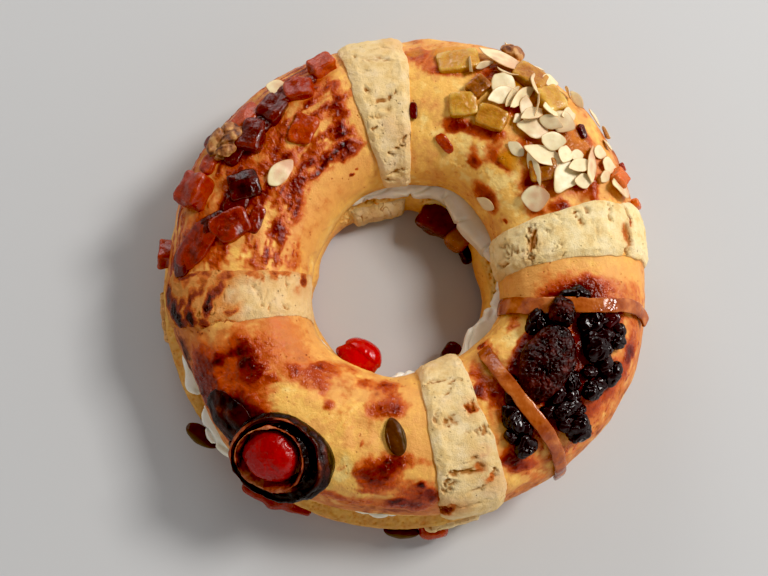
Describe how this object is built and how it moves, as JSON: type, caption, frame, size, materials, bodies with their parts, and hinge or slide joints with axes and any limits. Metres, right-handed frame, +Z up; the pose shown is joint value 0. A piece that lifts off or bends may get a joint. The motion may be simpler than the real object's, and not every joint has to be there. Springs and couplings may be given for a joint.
{
  "type": "roscon de reyes",
  "caption": "Ring-shaped sweet bread sliced flat, filled with cream and topped with sugar paste strips, candied fruit, peel, nuts and raisins.",
  "frame": {"origin": "on the ground under the middle of the whole, where the bread rests", "axes": "+Z up; -Y towards the viewer, +X to the viewer's right"},
  "size_m": [0.2428, 0.2484, 0.0734],
  "materials": {
    "crust": "glazed golden baked crust",
    "crumb_crust": "golden baked crust and yellow crumb",
    "cream": "satin whipped cream",
    "sugar_paste": "matt crumbly sugar paste",
    "quince": "glossy dark red candied fruit",
    "candied_fruit": "glossy amber candied fruit",
    "cherry": "very glossy red glace cherry",
    "burnt_fruit": "burnt leathery candied fruit",
    "raisin": "glossy wrinkled raisin skin",
    "fig": "dark sticky dried fig",
    "candied_peel": "glossy translucent candied peel",
    "seed": "toasted dark seed",
    "walnut": "wrinkled brown nut"
  },
  "bodies": {
    "root": {"bread_base": "crumb_crust", "bread_lid": "crust", "candied_cup": "burnt_fruit", "candied_side_front": "candied_fruit", "candied_side_left": "quince", "cherry_at_hole": "cherry", "cherry_in_cup": "cherry", "cream_filling": "cream", "dried_fig": "fig", "fig_stem": "fig", "fruit_cube_01": "candied_fruit", "fruit_cube_02": "candied_fruit", "fruit_cube_03": "candied_fruit", "fruit_cube_04": "candied_fruit", "fruit_cube_05": "candied_fruit", "fruit_cube_06": "candied_fruit", "fruit_cube_07": "candied_fruit", "fruit_cube_08": "candied_fruit", "hole_fruit_01": "quince", "hole_fruit_02": "quince", "hole_fruit_03": "quince", "hole_fruit_04": "quince", "paste_edge_back": "sugar_paste", "paste_edge_front": "sugar_paste", "paste_edge_hole": "sugar_paste", "paste_edge_left": "sugar_paste", "paste_edge_right": "sugar_paste", "paste_strip_back": "sugar_paste", "paste_strip_front": "sugar_paste", "paste_strip_left": "sugar_paste", "paste_strip_right": "sugar_paste", "peel_strip_lower": "candied_peel", "peel_strip_upper": "candied_peel", "pumpkin_seed_front": "seed", "pumpkin_seed_side": "seed", "pumpkin_seed_top": "seed", "quince_cube_01": "quince", "quince_cube_02": "quince", "quince_cube_03": "quince", "quince_cube_04": "quince", "quince_cube_05": "quince", "quince_cube_06": "quince", "quince_cube_07": "quince", "quince_cube_08": "quince", "quince_cube_09": "quince", "raisin_01": "raisin", "raisin_02": "raisin", "raisin_03": "raisin", "raisin_04": "raisin", "raisin_05": "raisin", "raisin_06": "raisin", "raisin_07": "raisin", "raisin_08": "raisin", "raisin_09": "raisin", "raisin_10": "raisin", "raisin_11": "raisin", "raisin_12": "raisin", "raisin_13": "raisin", "walnut_01": "walnut", "walnut_02": "walnut"}
  },
  "joints": []
}
